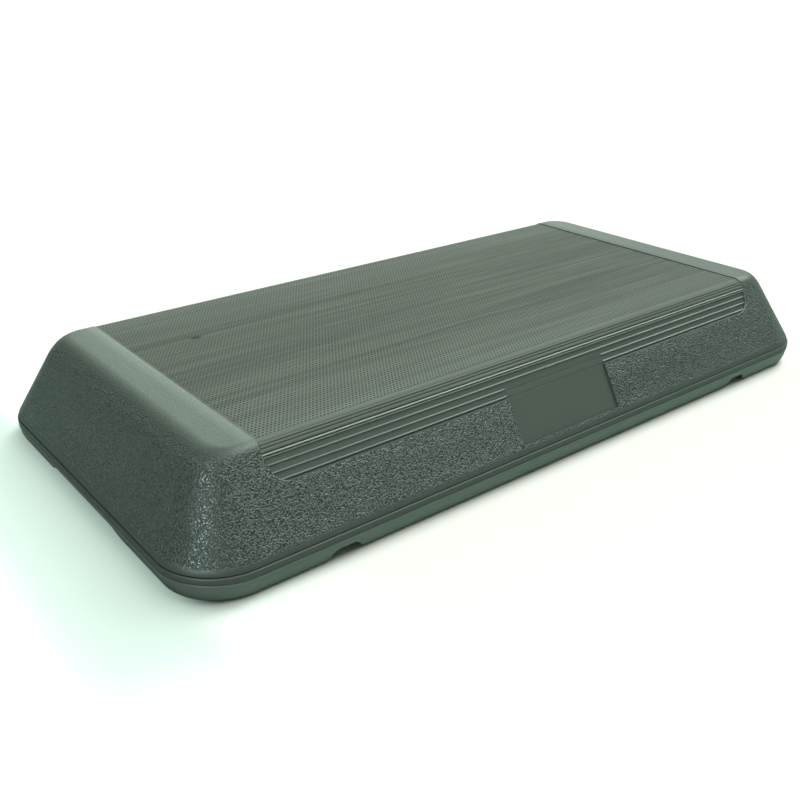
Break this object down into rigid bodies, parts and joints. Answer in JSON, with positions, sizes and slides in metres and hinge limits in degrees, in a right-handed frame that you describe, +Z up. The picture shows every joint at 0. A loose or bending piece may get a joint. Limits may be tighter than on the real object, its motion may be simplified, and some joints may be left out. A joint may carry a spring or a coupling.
{
  "type": "aerobic step platform",
  "caption": "Low oblong exercise step: grained sloping walls, rounded corners, stepped nosing on the long edges, dotted non-slip mat on top, base frame on rubber feet.",
  "frame": {"origin": "centre of the platform's footprint, on the floor under the feet", "axes": "+X along the length to the right, +Y across the width from the front long side to the rear, +Z up"},
  "size_m": [0.8, 0.406, 0.1016],
  "materials": {
    "deck_plastic": "satin, grained on the walls",
    "tread_rubber": "matte, finely dotted",
    "base_plastic": "satin",
    "foot_rubber": "matte",
    "screw_steel": "zinc plated"
  },
  "bodies": {
    "root": {"deck_shell": "deck_plastic", "tread_mat": "tread_rubber", "base_frame": "base_plastic", "bottom_panel": "base_plastic", "foot_front_left": "foot_rubber", "foot_front_middle": "foot_rubber", "foot_front_right": "foot_rubber", "foot_rear_left": "foot_rubber", "foot_rear_middle": "foot_rubber", "foot_rear_right": "foot_rubber", "case_screws": "screw_steel"}
  },
  "joints": []
}
